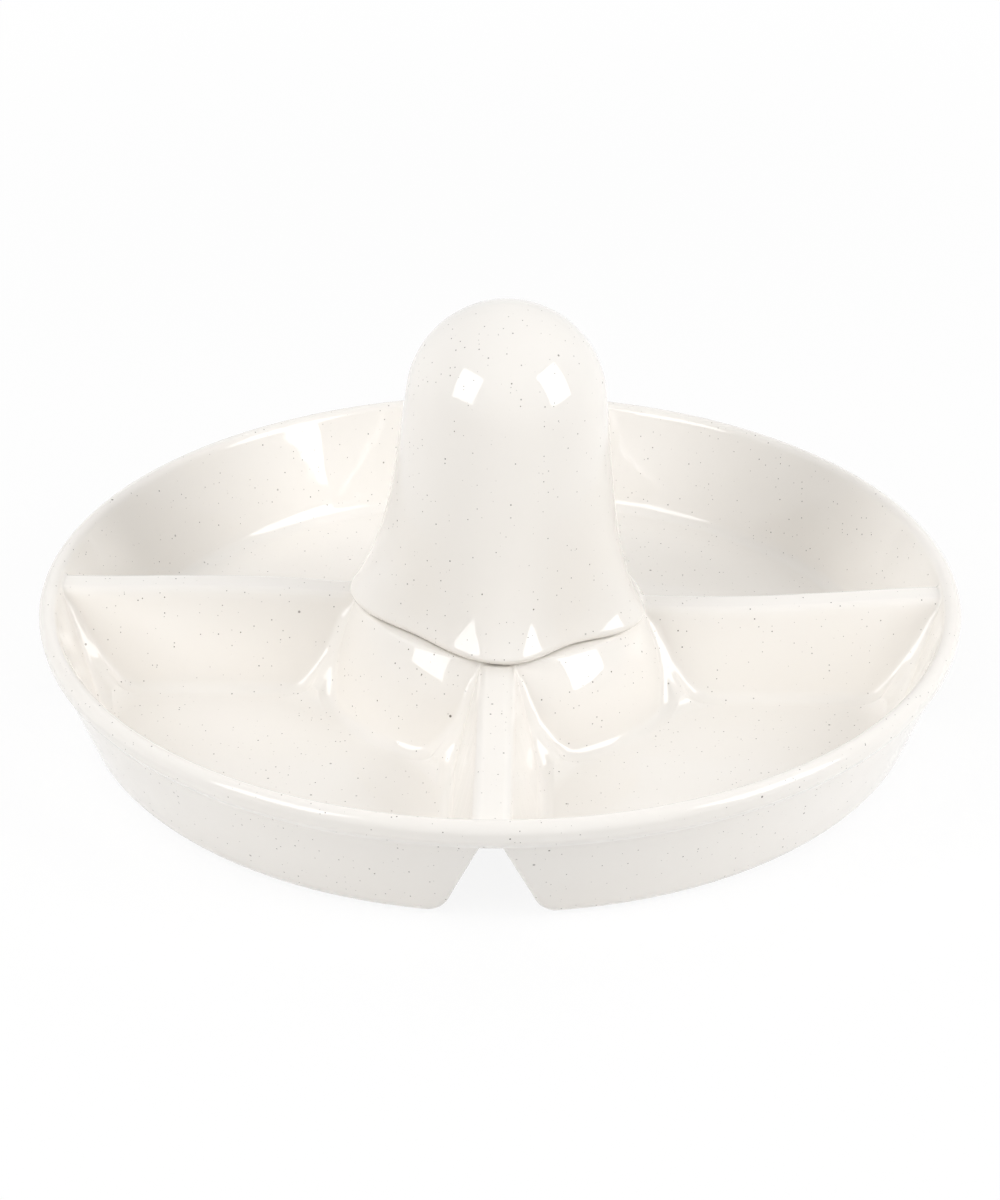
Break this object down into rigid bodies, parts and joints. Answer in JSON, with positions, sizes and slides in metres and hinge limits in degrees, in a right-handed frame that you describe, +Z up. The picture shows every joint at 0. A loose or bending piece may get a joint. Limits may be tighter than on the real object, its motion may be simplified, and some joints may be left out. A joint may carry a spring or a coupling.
{
  "type": "divided serving bowl",
  "caption": "Round glazed serving tray with radial dividers, unequal compartments round a raised dip well, and a domed cover that lifts off the well.",
  "frame": {"origin": "centre of the tray's foot, on the table", "axes": "+Z up through the middle of the dip well and the cover, -Y towards the single front divider, +X along the right divider"},
  "size_m": [0.32, 0.32, 0.1464],
  "materials": {
    "speckled_glaze": "glossy off-white glaze with fine dark specks"
  },
  "bodies": {
    "tray": {"tray": "speckled_glaze"},
    "cover": {"dome_cover": "speckled_glaze"}
  },
  "joints": [
    {"name": "cover_lift", "type": "slide", "parent": "tray", "child": "cover", "axis": [0, 0, 1], "range_m": [0, 0.15]}
  ]
}
